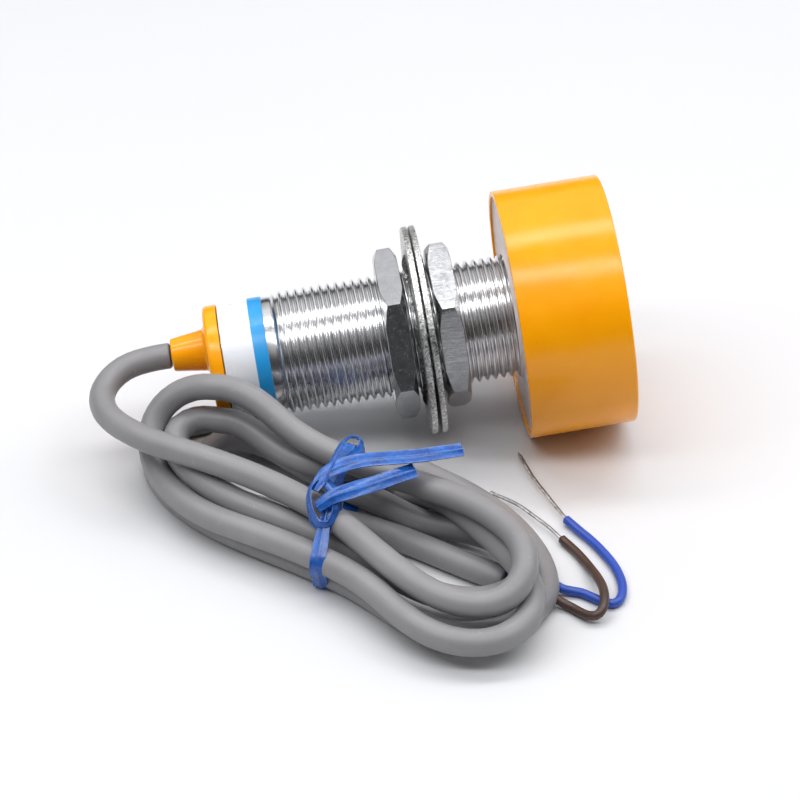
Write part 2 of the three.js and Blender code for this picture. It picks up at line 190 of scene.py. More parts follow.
def rounded(corners, steps=4, closed=False):
    """A profile from [s, r, radius] corners, with each corner rounded by its radius."""
    points = []
    count = len(corners)
    for i, (s, r, radius) in enumerate(corners):
        here = np.array([s, r], float)
        if radius <= 0 or (not closed and i in (0, count - 1)):
            points.append(tuple(here))
            continue
        before = np.array(corners[i - 1][:2], float) - here
        after = np.array(corners[(i + 1) % count][:2], float) - here
        start = here + before / np.linalg.norm(before) * radius
        end = here + after / np.linalg.norm(after) * radius
        for k in range(steps + 1):
            t = k / steps
            points.append(tuple((1 - t) ** 2 * start + 2 * t * (1 - t) * here + t * t * end))
    return points


SPLINE_STEPS = 24


def smooth_path(points, step):
    """Points every step mm along a centripetal spline through the given points."""
    p = np.asarray(points, float)
    p = np.vstack([2 * p[0] - p[1], p, 2 * p[-1] - p[-2]])
    fine = []
    for i in range(1, len(p) - 2):
        p0, p1, p2, p3 = p[i - 1 : i + 3]
        t1 = np.linalg.norm(p1 - p0) ** 0.5
        t2 = t1 + np.linalg.norm(p2 - p1) ** 0.5
        t3 = t2 + np.linalg.norm(p3 - p2) ** 0.5
        t = np.linspace(t1, t2, SPLINE_STEPS, endpoint=False)[:, None]
        a1 = (t1 - t) / t1 * p0 + t / t1 * p1
        a2 = (t2 - t) / (t2 - t1) * p1 + (t - t1) / (t2 - t1) * p2
        a3 = (t3 - t) / (t3 - t2) * p2 + (t - t2) / (t3 - t2) * p3
        b1 = (t2 - t) / t2 * a1 + t / t2 * a2
        b2 = (t3 - t) / (t3 - t1) * a2 + (t - t1) / (t3 - t1) * a3
        fine.append((t2 - t) / (t2 - t1) * b1 + (t - t1) / (t2 - t1) * b2)
    fine = np.vstack([*fine, p[-2:-1]])
    return resampled(fine, step)


def resampled(points, step):
    """The same line with its points evenly spaced."""
    lengths = np.r_[0, np.cumsum(np.linalg.norm(np.diff(points, axis=0), axis=1))]
    count = max(2, int(round(lengths[-1] / step)) + 1)
    wanted = np.linspace(0, lengths[-1], count)
    return np.stack([np.interp(wanted, lengths, points[:, k]) for k in range(3)], axis=1)


def length_of(points):
    return float(np.linalg.norm(np.diff(points, axis=0), axis=1).sum())


def unit(v):
    v = np.asarray(v, float)
    return v / np.linalg.norm(v, axis=-1, keepdims=True)


def frames_along(path):
    """Tangent and two cross directions at each point, turning as little as they can."""
    tangents = unit(np.gradient(path, axis=0))
    side = UP
    sides = []
    for tangent in tangents:
        side = unit(side - tangent * (side @ tangent))
        sides.append(side)
    sides = np.array(sides)
    return tangents, sides, np.cross(tangents, sides)


def tube(name, path, radius, sides, end_round):
    """A round tube along a path, with a pole and an eased edge at each end."""
    tangents, one, two = frames_along(path)
    angles = around(sides)
    cosines, sines = np.cos(angles)[:, None], np.sin(angles)[:, None]
    bm = bmesh.new()

    def row(centre, r, i):
        if r <= 0:
            return [bm.verts.new(centre)]
        return [bm.verts.new(v) for v in centre + r * (cosines * one[i] + sines * two[i])]

    last = len(path) - 1
    rows = [row(path[0], 0, 0), row(path[0], radius - end_round, 0),
            row(path[0] + tangents[0] * end_round, radius, 0)]
    rows += [row(path[i], radius, i) for i in range(1, last)]
    rows += [row(path[last] - tangents[last] * end_round, radius, last),
             row(path[last], radius - end_round, last), row(path[last], 0, last)]
    grid_faces(bm, rows)
    return finish_mesh(name, bm, sharp_degrees=50)


# ---------- the cable's route ----------
CABLE_RADIUS = 3.15
SETTLE_STEP = 3.0
MESH_STEP = 2.0

# From the spout, round the left side, then over the end of the hank to the tie.
LEAD_ROUTE = [
    [-56.2, 2.1, 23.35], [-59.6, 2.2, 22.9], [-62.4, 2.1, 22.4], [-65.4, 1.7, 21.8], [-68.3, 0.8, 20.9],
    [-71.1, -1.7, 20], [-73, -5.2, 19.2], [-73.5, -9.2, 18.8], [-72.5, -14.3, 18.7], [-69.8, -19.4, 18.9],
    [-67.3, -22.6, 19.1], [-65.2, -24.9, 19.2], [-61.1, -28.4, 19.5], [-56.2, -31.9, 19.6],
    [-51.4, -34.7, 19.4], [-46.4, -37.5, 18.9], [-41.3, -40.6, 18.3], [-36.8, -43.8, 17.7],
    [-33, -46.8, 17.2], [-29.2, -50, 16.8], [-26, -52.9, 16.5], [-22.9, -56.2, 16.2], [-18.7, -62.2, 15.6],
    [-14.6, -68.6, 14.9],
]

# Each turn of the hank is a bend on the right, then a bend on the left. A bend is part of an ellipse:
# its centre, half-length, half-width, tilt, first and last angle, and heights from its start to its end.
HANK_TURNS = [
    ((2.3, -68.4, 23, 14.3, -60, -90, 142, (15, 13.5, 13, 14.5, 15.5, 15.2, 16)),
     (-42.7, -32.8, 27.2, 12.2, -50, 76, 300, (21, 26.2, 25.2, 20.6, 16.5, 12.6, 10, 9.2, 9.2))),
    ((0.2, -69.5, 30.5, 16.2, -65, -95, 141, (9, 8, 8.2, 9.8, 11.1, 11.2, 10.5, 9.7, 9)),
     (-41.5, -22.5, 27, 17.7, -62, 94, 307, (3.6, 3.2, 3.2, 3.2, 3.2, 3.2, 3.2))),
    ((3.2, -62.6, 27.9, 19.9, -66, -91, 137, (3.2, 3.2, 4, 5.4, 5.4, 5.7, 8)),
     (-43.6, -31.2, 19.5, 11, -60, 73, 347, (14.6, 16.6, 16.2, 15, 13.6, 13, 12))),
    ((1.2, -62.7, 23.4, 12, -51, -99, 141, (7, 7.4, 8.8, 10, 9.8, 8.6, 8)),
     (-38.4, -23.4, 16.6, 9.2, -59, 76, 304, (6.5, 6.2, 5.6, 4.3, 3.3, 3.2, 3.2))),
]
# From the last bend, along the floor and out under the right end of the hank.
TAIL_ROUTE = [
    [-28.5, -39.4, 3.2], [-20.5, -41.6, 3.2], [-13.7, -45.2, 3.2], [-7, -50, 3.2],
    [-0.7, -55, 3.2], [5.7, -60.5, 3.2], [11.9, -65.6, 3.2], [16.4, -69, 3.2],
]
POINTS_PER_BEND = 11


def bend_points(bend):
    """Points of one bend of the hank, from its row of numbers."""
    x, y, half_length, half_width, tilt, first, last, heights = bend
    angles = np.radians(np.linspace(first, last, POINTS_PER_BEND))
    u, v = half_length * np.cos(angles), half_width * np.sin(angles)
    c, s = math.cos(math.radians(tilt)), math.sin(math.radians(tilt))
    z = np.interp(np.linspace(0, 1, POINTS_PER_BEND), np.linspace(0, 1, len(heights)), heights)
    return np.stack([x + u * c - v * s, y + u * s + v * c, z], axis=1)


def cable_start_route():
    """The whole cable, before its turns are pushed apart."""
    points = [LEAD_ROUTE]
    for right, left in HANK_TURNS:
        points += [bend_points(right), bend_points(left)]
    points.append(TAIL_ROUTE)
    return smooth_path(np.vstack(points), SETTLE_STEP)


TOWARDS_VIEWER = unit(np.subtract(CAMERA_AT, CAMERA_LOOKS_AT))
# How the turns settle: each share or distance is for one round.
SETTLE_ROUNDS = 700
HELD_LEAD_POINTS = 12
HELD_END_POINTS = 4
HOLD_ACROSS_VIEW = 0.04
HOLD_IN_DEPTH = 0.004
STIFFNESS = ((1, 0.5), (3, 0.05))
SAG_PER_ROUND = 0.015
PUSH_SHARE = 0.6
STRETCH_SHARE = 0.25
TURN_GAP = 0.1


def settle_cable(path):
    """Pushes the turns out of each other, the barrel and the floor, and keeps them smooth.

    Each point is held firmly to its place across the view, and only loosely in depth. The lead round the
    left side and the cut end don't move.
    """
    start = path.copy()
    spacing = length_of(path) / (len(path) - 1)
    free = np.ones((len(path), 1))
    free[:len(smooth_path(LEAD_ROUTE[:HELD_LEAD_POINTS], SETTLE_STEP))] = 0
    free[-HELD_END_POINTS:] = 0
    apart = 2 * CABLE_RADIUS + TURN_GAP
    index = np.arange(len(path))
    # Points nearer than two diameters along the cable are neighbours, and don't push each other.
    far_along = np.abs(index[:, None] - index[None, :]) * spacing > 4 * CABLE_RADIUS
    for _ in range(SETTLE_ROUNDS):
        away = start - path
        depth = (away @ TOWARDS_VIEWER)[:, None] * TOWARDS_VIEWER
        path += free * (HOLD_ACROSS_VIEW * (away - depth) + HOLD_IN_DEPTH * depth)
        for reach, firmness in STIFFNESS:
            bend = np.zeros_like(path)
            nearer = path[reach:-3 * reach] + path[3 * reach:-reach]
            farther = path[:-4 * reach] + path[4 * reach:]
            bend[2 * reach:-2 * reach] = (4 * nearer - farther) / 6 - path[2 * reach:-2 * reach]
            path += free * firmness * bend
        path[:, 2] -= free[:, 0] * SAG_PER_ROUND
        step = path[:, None] - path[None, :]
        distance = np.linalg.norm(step, axis=2) + 1e-6
        lack = np.where(far_along, np.clip(apart - distance, 0, None), 0)
        push = (lack * (2 - free.T) / distance)[:, :, None] * step
        touching = np.maximum(1, (lack > 0).sum(axis=1))[:, None]
        path += free * PUSH_SHARE * push.sum(axis=1) / np.sqrt(touching)
        segment = np.diff(path, axis=0)
        length = np.linalg.norm(segment, axis=1, keepdims=True)
        fix = segment / length * (length - spacing) * STRETCH_SHARE
        path[:-1] += free[:-1] * fix
        path[1:] -= free[1:] * fix
        keep_off_sensor(path, free)
        path[:, 2] = np.maximum(path[:, 2], CABLE_RADIUS)
    return smooth_path(path, MESH_STEP)


def keep_off_sensor(path, free):
    """Moves points of the cable out of the thread, the label and the cap."""
    thread_from, thread_to, cap_to = 20, 85, 101.5
    thread_radius, label_radius = 14.95, 14.3
    offset = path - FACE_CENTRE
    s = -(offset @ ALONG)
    radial = offset + s[:, None] * ALONG
    r = np.linalg.norm(radial, axis=1)
    limit = np.where((s > thread_from) & (s < thread_to), thread_radius + CABLE_RADIUS, 0)
    limit = np.where((s >= thread_to) & (s < cap_to), label_radius + CABLE_RADIUS, limit)
    out = np.clip(limit - r, 0, None) / r
    path += free * out[:, None] * radial


# ---------- materials ----------
# Nearly all of a noise's values lie in this range.
MOST_NOISE = (0.3, 0.7)


class Shader:
    """A small helper that adds nodes to one material."""

    def __init__(self, name, roughness, metallic=0.0, coat=0.0, specular=0.5):
        self.material = bpy.data.materials.new(name)
        self.material.use_nodes = True
        self.nodes = self.material.node_tree.nodes
        self.links = self.material.node_tree.links
        self.surface = self.nodes["Principled BSDF"]
        self.place = self.nodes.new("ShaderNodeTexCoord").outputs["Object"]
        for socket, value in (("Roughness", roughness), ("Metallic", metallic), ("Coat Weight", coat),
                              ("Specular IOR Level", specular)):
            self.surface.inputs[socket].default_value = value
        self.bump_from = None

    def noise(self, size_mm, detail=4, roughness=0.55, stretch=(1, 1, 1)):
        """Noise whose blotches are about size_mm across."""
        mapping = self.nodes.new("ShaderNodeMapping")
        mapping.inputs["Scale"].default_value = stretch
        self.links.new(self.place, mapping.inputs["Vector"])
        node = self.nodes.new("ShaderNodeTexNoise")
        node.inputs["Scale"].default_value = 1 / (size_mm * MM)
        node.inputs["Detail"].default_value = detail
        node.inputs["Roughness"].default_value = roughness
        self.links.new(mapping.outputs["Vector"], node.inputs["Vector"])
        return node.outputs["Fac"]

    def clouds(self, size_mm, first, second, **kinds):
        """A soft mottle of two colours."""
        return self.mix(self.between(self.noise(size_mm, **kinds), *MOST_NOISE), first, second)

    def spots(self, size_mm):
        """The distance to scattered points that are about size_mm apart."""
        node = self.nodes.new("ShaderNodeTexVoronoi")
        node.inputs["Scale"].default_value = 1 / (size_mm * MM)
        self.links.new(self.place, node.inputs["Vector"])
        return node.outputs["Distance"]

    def between(self, value, low, high, to_low=0.0, to_high=1.0):
        """The value's range from low to high, spread from to_low to to_high."""
        node = self.nodes.new("ShaderNodeMapRange")
        node.inputs["From Min"].default_value = low
        node.inputs["From Max"].default_value = high
        node.inputs["To Min"].default_value = to_low
        node.inputs["To Max"].default_value = to_high
        self.links.new(value, node.inputs["Value"])
        return node.outputs["Result"]

    def mix(self, factor, first, second):
        """A blend of two colours, each a tuple or an output."""
        node = self.nodes.new("ShaderNodeMix")
        node.data_type = "RGBA"
        self.links.new(factor, node.inputs["Factor"])
        for socket, colour in ((node.inputs[6], first), (node.inputs[7], second)):
            if isinstance(colour, tuple):
                socket.default_value = (*colour, 1)
            else:
                self.links.new(colour, socket)
        return node.outputs[2]

    def colour(self, output):
        self.links.new(output, self.surface.inputs["Base Color"])

    def roughness(self, output):
        self.links.new(output, self.surface.inputs["Roughness"])

    def uneven_gloss(self, size_mm, low, high, **kinds):
        """A roughness that wanders from low to high."""
        self.roughness(self.between(self.noise(size_mm, **kinds), *MOST_NOISE, low, high))

    def bump(self, height, depth_mm):
        """Adds relief of a depth to the relief so far."""
        node = self.nodes.new("ShaderNodeBump")
        node.inputs["Distance"].default_value = depth_mm * MM
        node.inputs["Strength"].default_value = 1
        self.links.new(height, node.inputs["Height"])
        if self.bump_from is not None:
            self.links.new(self.bump_from, node.inputs["Normal"])
        self.bump_from = node.outputs["Normal"]
        self.links.new(self.bump_from, self.surface.inputs["Normal"])


def shade(colour, factor):
    return tuple(min(1.0, c * factor) for c in colour)


def plastic(name, colour, roughness, size_mm, variation):
    """Moulded or extruded plastic: slight cloudiness, uneven gloss and a fine grain."""
    s = Shader(name, roughness)
    s.colour(s.clouds(size_mm, shade(colour, 1 - variation), shade(colour, 1 + variation)))
    s.uneven_gloss(size_mm * 0.6, roughness - 0.05, roughness + 0.07)
    s.bump(s.noise(0.35, detail=2), 0.01)
    return s.material


def copper_wire():
    """Drawn wire, whose marks run along it."""
    s = Shader("copper_wire", 0.3, metallic=1.0)
    copper, drawn = (0.72, 0.30, 0.13), (6, 1, 1)
    s.colour(s.clouds(3, shade(copper, 0.92), shade(copper, 1.08), stretch=drawn))
    s.uneven_gloss(1.2, 0.26, 0.38, stretch=drawn)
    s.bump(s.noise(0.5, stretch=drawn), 0.004)
    return s.material


def head_plastic():
    """Satin orange moulding with a few tiny dents and dark specks, and a faint long waviness."""
    s = Shader("orange_plastic", 0.24, specular=0.4)
    orange = s.clouds(14, shade((1.0, 0.36, 0.0), 0.96), (1.0, 0.39, 0.0))
    specks = s.between(s.spots(4.5), 0.045, 0.03)
    patch = s.between(s.noise(9, detail=2), 0.55, 0.62)
    speck_here = s.nodes.new("ShaderNodeMath")
    speck_here.operation = "MULTIPLY"
    s.links.new(specks, speck_here.inputs[0])
    s.links.new(patch, speck_here.inputs[1])
    s.colour(s.mix(speck_here.outputs[0], orange, (0.35, 0.12, 0.01)))
    s.uneven_gloss(3.5, 0.16, 0.26)
    s.bump(s.noise(0.5, detail=2), 0.006)
    s.bump(s.noise(12, detail=1), 0.12)
    s.bump(s.between(s.spots(7), 0.0, 0.08), 0.03)
    return s.material


def cable_jacket():
    """Soft grey jacket with faint clouds, light scuffs and a slightly uneven skin."""
    s = Shader("grey_pvc", 0.42)
    grey = s.clouds(18, shade((0.235, 0.232, 0.243), 0.93), (0.262, 0.257, 0.265))
    scuffs = s.between(s.noise(2.2, detail=6, roughness=0.7), 0.62, 0.75)
    s.colour(s.mix(scuffs, grey, (0.33, 0.32, 0.325)))
    s.uneven_gloss(5, 0.36, 0.5)
    s.bump(s.noise(0.45, detail=3), 0.012)
    s.bump(s.noise(6, detail=2), 0.08)
    return s.material


def washer_zinc():
    """Stamped and plated sheet: mottled light and dark, rough, with a few burnt brown patches."""
    s = Shader("zinc_plate", 0.4, metallic=1.0)
    grain = s.noise(0.5, detail=8, roughness=0.75)
    pale = s.mix(s.between(grain, 0.4, 0.58), (0.2, 0.2, 0.19), (0.9, 0.91, 0.89))
    brown = s.between(s.noise(5, detail=3), 0.62, 0.72)
    s.colour(s.mix(brown, pale, (0.34, 0.22, 0.15)))
    s.roughness(s.between(s.noise(0.9, detail=6, roughness=0.7), 0.35, 0.65, 0.2, 0.6))
    s.bump(s.noise(0.6, detail=5, roughness=0.65), 0.07)
    return s.material


def nickel_plate():
    """Bright plate with a slightly uneven gloss and a few pits."""
    s = Shader("nickel_plate", 0.16, metallic=1.0)
    s.colour(s.clouds(5, (0.66, 0.66, 0.67), (0.78, 0.78, 0.79)))
    s.roughness(s.between(s.noise(0.8, detail=6, roughness=0.7), 0.35, 0.7, 0.17, 0.24))
    s.bump(s.noise(0.8, detail=5, roughness=0.65), 0.002)
    s.bump(s.between(s.spots(2.6), 0.05, 0.0), -0.03)
    return s.material


def nut_plate():
    """Bright plate over a machined hexagon, with faint cutter marks along the barrel."""
    s = Shader("nut_plate", 0.25, metallic=1.0)
    s.colour(s.clouds(3, (0.50, 0.51, 0.525), (0.58, 0.59, 0.605)))
    s.roughness(s.between(s.noise(1.2, detail=6, roughness=0.7), 0.35, 0.7, 0.16, 0.3))
    s.bump(s.noise(2.5, detail=6, roughness=0.6, stretch=(0.35, 3, 3)), 0.02)
    s.bump(s.noise(0.9, detail=4), 0.015)
    return s.material


def tie_plastic():
    """Glossy crumpled film, darker and lighter by turns."""
    s = Shader("tie_film", 0.27, coat=0.12)
    s.colour(s.clouds(4, shade((0.01, 0.082, 0.38), 0.75), (0.014, 0.13, 0.51)))
    s.uneven_gloss(2, 0.2, 0.36)
    s.bump(s.noise(1.6, detail=3), 0.12)
    return s.material


def tinned_strands():
    """Dull tinned copper, dark where the tin is thin."""
    s = Shader("tinned_strands", 0.3, metallic=1.0)
    s.colour(s.clouds(1.5, (0.26, 0.26, 0.27), (0.62, 0.62, 0.63)))
    s.bump(s.noise(0.3), 0.01)
    return s.material


def make_materials():
    made = {
        "orange_plastic": head_plastic(),
        "nickel_plate": nickel_plate(),
        "nut_plate": nut_plate(),
        "zinc_plate": washer_zinc(),
        "grey_pvc": cable_jacket(),
        "tie_film": tie_plastic(),
        "tinned_strands": tinned_strands(),
    }
    # Colour, roughness, size of the clouds in mm, and how much the colour varies.
    plain = {
        "label_film": ((0.74, 0.76, 0.80), 0.3, 9, 0.03),
        "label_blue": ((0.018, 0.30, 0.68), 0.3, 9, 0.06),
        "casting_resin": ((0.76, 0.66, 0.63), 0.45, 4, 0.08),
        "ferrite": ((0.035, 0.035, 0.04), 0.7, 1.5, 0.25),
        "nylon": ((0.72, 0.68, 0.58), 0.5, 5, 0.05),
        "board_green": ((0.02, 0.16, 0.06), 0.35, 4, 0.12),
        "black_epoxy": ((0.02, 0.02, 0.022), 0.45, 2, 0.2),
        "component_blue": ((0.03, 0.12, 0.5), 0.35, 3, 0.1),
        "component_yellow": ((0.6, 0.38, 0.04), 0.35, 3, 0.1),
        "component_beige": ((0.55, 0.4, 0.2), 0.5, 2, 0.1),
        "seal_rubber": ((0.015, 0.015, 0.016), 0.6, 2, 0.2),
        "blue_pvc": ((0.022, 0.075, 0.42), 0.35, 5, 0.1),
        "brown_pvc": ((0.060, 0.032, 0.024), 0.4, 5, 0.15),
    }
    for name, look in plain.items():
        made[name] = plastic(name, *look)
    made["copper_wire"] = copper_wire()
    return made


def dress(thing, *names):
    """Gives a piece its materials, in the order of its faces' material numbers."""
    thing.data.materials.clear()
    for name in names:
        thing.data.materials.append(MATERIALS[name])


def place_piece(thing, body, slot, replaced=(), materials=None):
    """Puts a new piece on its body, with its slot's material unless others are named."""
    dress(thing, *(materials or (slot,)))
    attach(thing, body)
    if replaced:
        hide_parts(*replaced)


# ---------- head, cap, label ----------
def add_head():
    """The moulded cup, and the resin poured into it, whose surface creeps up the walls and the barrel."""
    radius, wall, length = 30.5, 1.3, 26
    cavity = radius - wall
    cup = revolve("head_shell", rounded([
        (0, 0, 0), (0, radius, 0.55), (length, radius, 0.3), (length, cavity, 0.25), (wall, cavity, 0.2),
        (wall, 0, 0)], steps=5), sides=192)
    place_piece(cup, "sensor", "orange_plastic", ["head_cap"])

    def uneven(s, r, angles):
        on_top = 1.0 if s > 24 else 0.0
        return on_top * 0.09 * (np.sin(2 * angles + 0.7) + 0.6 * np.sin(5 * angles + 2) * (r / 30))

    outer, inner = cavity - 0.05, 15.1
    resin = revolve("head_resin", [
        (1.9, 23.95), (1.9, outer), (25.3, outer), (25.05, outer - 0.5), (24.9, outer - 1.4),
        (24.85, outer - 4), (24.9, 21), (24.95, inner + 2.5), (25.05, inner + 1.2), (25.3, inner + 0.5),
        (25.9, inner), (15.8, inner), (15.8, 12.95), (13.3, 12.95), (13.3, 23.95)], sides=144, wobble=uneven)
    place_piece(resin, "sensor", "casting_resin", ["head_potting"])


def add_rear_cap():
    """The flange and spigot are turned about the barrel's axis; the spout stands off it."""
    spout_centre = (2.12, 3.03)
    flange = rounded([
        (88.5, 10, 0.2), (88.5, 12.1, 0.3), (91.8, 12.1, 0.1), (91.8, 10.9, 0.1), (93.9, 10.9, 0.1),
        (93.9, 12.1, 0.1), (96.6, 12.1, 0.1), (96.6, 14.25, 0.35), (100, 14.25, 1.25), (100.15, 7, 0.5),
        (100.15, 3.2, 0.1), (98.4, 3.2, 0.1), (98.4, 10, 0.4)], steps=5, closed=True)
    body = revolve("cap_flange", flange, sides=128)
    place_piece(body, "sensor", "orange_plastic", ["rear_cap"])
    spout = revolve("cap_spout", rounded([
        (98.6, 3.2, 0.1), (98.6, 6.6, 0.1), (100.1, 6.6, 0.05), (100.75, 5.1, 0.55), (109, 3.95, 0.45),
        (109, 3.2, 0.12)], steps=6, closed=True), sides=72, centre=spout_centre)
    place_piece(spout, "sensor", "orange_plastic")


def add_label():
    """Printed film wrapped once round the barrel, with its edges just standing proud."""
    front, band_end, rear = 85.5, 88.85, 96.3
    inside, edge, skin = 14.12, 14.33, 14.42
    label = revolve("label_film", [
        (front, inside), (front, edge), (front + 0.12, skin), (band_end, skin + 0.01), (rear - 0.12, skin),
        (rear, edge), (rear, inside)])
    place_piece(label, "sensor", "label_film", ["label_sleeve"], ["label_film", "label_blue"])
    for polygon in label.data.polygons:
        s = (FACE_CENTRE - np.array(polygon.center) / MM) @ ALONG
        polygon.material_index = 1 if s < band_end else 0


# ---------- barrel ----------
def add_barrel():
    """The right-hand thread is one helical band from inside the head to its chamfered rear end."""
    first, last, chamfer_from = 25.0, 83.6, 82.3
    crest, root, pitch, sides = 14.9, 13.68, 2.0, 96
    # One turn of the thread's outline: the share of the pitch, and the radius.
    outline = [(0.0, crest - 0.05), (0.06, crest), (0.17, crest), (0.23, crest - 0.05),
               (0.56, root), (0.67, root)]
    turns = int((last - first) / pitch) + 2
    bm = bmesh.new()
    rows = []
    angles = around(sides)
    for turn in range(-1, turns + 1):
        for part, r in outline:
            s = first + (turn + part - angles / TAU) * pitch
            kept = np.clip(s, first, last)
            radius = np.minimum(r, crest - np.clip(kept - chamfer_from, 0, None))
            points = on_sensor(kept, radius * np.cos(angles), radius * np.sin(angles))
            rows.append([bm.verts.new(p) for p in points])
    count = len(outline)
    for q in range(len(rows) - 1):
        a, b = rows[q], rows[q + 1]
        quads = [[a[i], b[i], b[i + 1], a[i + 1]] for i in range(sides - 1)]
        if q >= count:
            # The last column of a row meets the first column of the row one turn before it.
            quads.append([a[-1], b[-1], rows[q + 1 - count][0], rows[q - count][0]])
        for corners in quads:
            if len({tuple(round(c, 4) for c in v.co) for v in corners}) > 2:
                bm.faces.new(corners)
    loose = [v for v in bm.verts if not v.link_faces]
    bmesh.ops.delete(bm, geom=loose, context="VERTS")
    thread = finish_mesh("barrel_thread", bm, sharp_degrees=40)
    place_piece(thread, "sensor", "nickel_plate")
    sleeve = revolve("barrel_sleeve", rounded([
        (16, 12.4, 0.2), (16, 13.6, 0.4), (83.3, 13.6, 0.02), (83.45, 14.1, 0.12), (85.2, 14.1, 0.02),
        (85.2, 14.05, 0.02), (96.4, 14.05, 0.15), (96.4, 12.4, 0.15)], steps=3, closed=True), sides=128)
    place_piece(sleeve, "sensor", "nickel_plate", ["barrel"])


# ---------- nuts and washers ----------
def add_nut(name, centre_s, roll_degrees):
    """A hexagon nut whose corners are cut back by a cone on each side."""
    across, half, bore, bore_bevel, sides = 37.0, 2.85, 15.15, 0.9, 180
    face_radius, corner_radius, slope = 19.0, 21.3, math.tan(math.radians(30))
    angles = around(sides) + math.radians(roll_degrees)
    local = (around(sides) + math.pi / 6) % (math.pi / 3) - math.pi / 6
    flat_radius = np.minimum(across / 2 / np.cos(local), corner_radius)
    cone_start = np.minimum(flat_radius - 0.1, face_radius)
    drop = (flat_radius - cone_start) * slope
    level, bore_radius = np.zeros(sides), np.full(sides, bore)
    rows_at = []
    for side in (-1, 1):
        rows = [
            (level + side * (half - bore_bevel), bore_radius),
            (level + side * half, bore_radius + bore_bevel),
            (level + side * half, cone_start - 0.1),
            (level + side * (half - 0.02), cone_start + 0.02),
            (side * (half - drop + 0.04), flat_radius - 0.06),
            (side * (half - drop - 0.05), flat_radius),
        ]
        rows_at += rows if side < 0 else rows[::-1]
    bm = bmesh.new()
    made = []
    for s, r in rows_at:
        points = on_sensor(centre_s + s, r * -np.sin(angles), r * np.cos(angles))
        made.append([bm.verts.new(p) for p in points])
    grid_faces(bm, made, close_columns=True)
    nut = finish_mesh(name + "_body", bm, sharp_degrees=24)
    place_piece(nut, name, "nickel_plate", [name], ["nut_plate"])


def add_washer(name, centre_s, lean_degrees, first_tooth):
    """A thin ring with a rough stamped rim, and internal teeth that are each twisted."""
    half, rim, root, tip, teeth, sides = 0.75, 25.5, 18.6, 15.5, 18, 180
    rim_roughness, tooth_twist = 0.06, math.radians(38)
    angles = around(sides)
    draw = np.random.default_rng(11 + first_tooth)
    smoothed = np.convolve(np.tile(draw.normal(0, 1, sides), 3), np.ones(3) / 3, "same")
    rough = smoothed[sides : 2 * sides] * rim_roughness
    lean = math.tan(math.radians(lean_degrees))
    outline = [(-half, root), (-half, rim - 0.35), (-half + 0.12, rim - 0.08), (-half * 0.3, rim),
               (half * 0.3, rim), (half - 0.12, rim - 0.08), (half, rim - 0.35), (half, root)]
    bm = bmesh.new()
    rows = []
    for s, r in outline:
        radius = r + (rough if r > rim - 0.2 else 0)
        y, z = radius * np.cos(angles), radius * np.sin(angles)
        points = on_sensor(centre_s + s + z * lean, y, z)
        rows.append([bm.verts.new(p) for p in points])
    grid_faces(bm, rows, close_columns=True)
    tooth_half = math.radians(360 / teeth) * 0.33
    for i in range(teeth):
        middle = (i + 0.5 * first_tooth) * TAU / teeth
        columns = []
        for k, r in enumerate(np.linspace(root + 0.6, tip, 5)):
            twist = tooth_twist * min(1.0, k / 2.5)
            half_width = r * tooth_half * (1 - 0.05 * k)
            ring = []
            for across, deep in ((-1, -1), (1, -1), (1, 1), (-1, 1)):
                a, d = across * half_width, deep * half * 0.92
                sideways = a * math.cos(twist) - d * math.sin(twist)
                s = a * math.sin(twist) + d * math.cos(twist)
                y = r * math.cos(middle) - sideways * math.sin(middle)
                z = r * math.sin(middle) + sideways * math.cos(middle)
                ring.append(bm.verts.new(on_sensor(centre_s + s + z * lean, y, z)))
            columns.append(ring)
        for a, b in zip(columns, columns[1:]):
            for j in range(4):
                bm.faces.new([a[j], a[(j + 1) % 4], b[(j + 1) % 4], b[j]])
        bm.faces.new(columns[0])
        bm.faces.new(columns[-1][::-1])
    washer = finish_mesh(name + "_ring", bm, sharp_degrees=30)
    place_piece(washer, name, "zinc_plate", [name])


# ---------- cable, cores and tie ----------
# Each core's route, from inside the jacket's end to its own cut end, and then its bare strands.
BLUE_ROUTE = [
    [14.6, -67.2, 3.8], [17.4, -69.6, 3.8], [19.9, -71.1, 3.6], [22.5, -71.4, 3.2], [25, -71.3, 2.9],
    [27.6, -71.4, 2.6], [29, -72, 1.9], [31, -72.4, 1.4],
    [33.4, -73.2, 1.2], [35.7, -75.2, 1.2], [37.9, -77, 1.2], [40, -77.8, 1.2], [41.6, -76.6, 1.2],
    [42.8, -73.6, 1.2], [43.2, -69.4, 1.2], [42.6, -64.4, 1.2], [41, -59.2, 1.2], [39, -54.4, 1.2],
    [36.9, -50.6, 1.3], [35.2, -47.6, 1.5], [34.2, -45.8, 1.6],
]
BROWN_ROUTE = [
    [14.4, -68.1, 2.7], [17, -70.4, 2.6], [19.4, -72.6, 2.6], [21.5, -74, 2.6], [24, -75, 2.6],
    [26.4, -75.6, 2.6], [28, -76.6, 1.8], [30, -78, 1.3],
    [32, -80.4, 1.4], [33.8, -82.4, 1.9], [35.4, -83, 2.6], [36.8, -81.6, 3.3], [37.7, -78.2, 3.8],
    [37.9, -74.4, 3.6], [37.5, -70, 2.9], [36.9, -66, 2], [36, -62, 1.4], [34.8, -58.4, 1.2],
    [33.4, -55.4, 1.2], [32, -52.9, 1.4],
]
BLUE_STRANDS = [
    [34.4, -46.2, 1.6], [32.8, -41.8, 1.9], [31, -36.4, 2.2], [28.9, -29.2, 2.2], [27, -18.6, 1.8],
]
BROWN_STRANDS = [
    [32.1, -53.1, 1.4], [29.6, -48.6, 1.8], [27, -44.6, 2], [23.6, -39.4, 2], [17.6, -33.6, 2],
]
WIRE_RADIUS = 1.1
STRAND_RADIUS = 0.155
STRAND_TURN = 3.6
STRAND_OUT = 0.3
LOOSE_END = 3


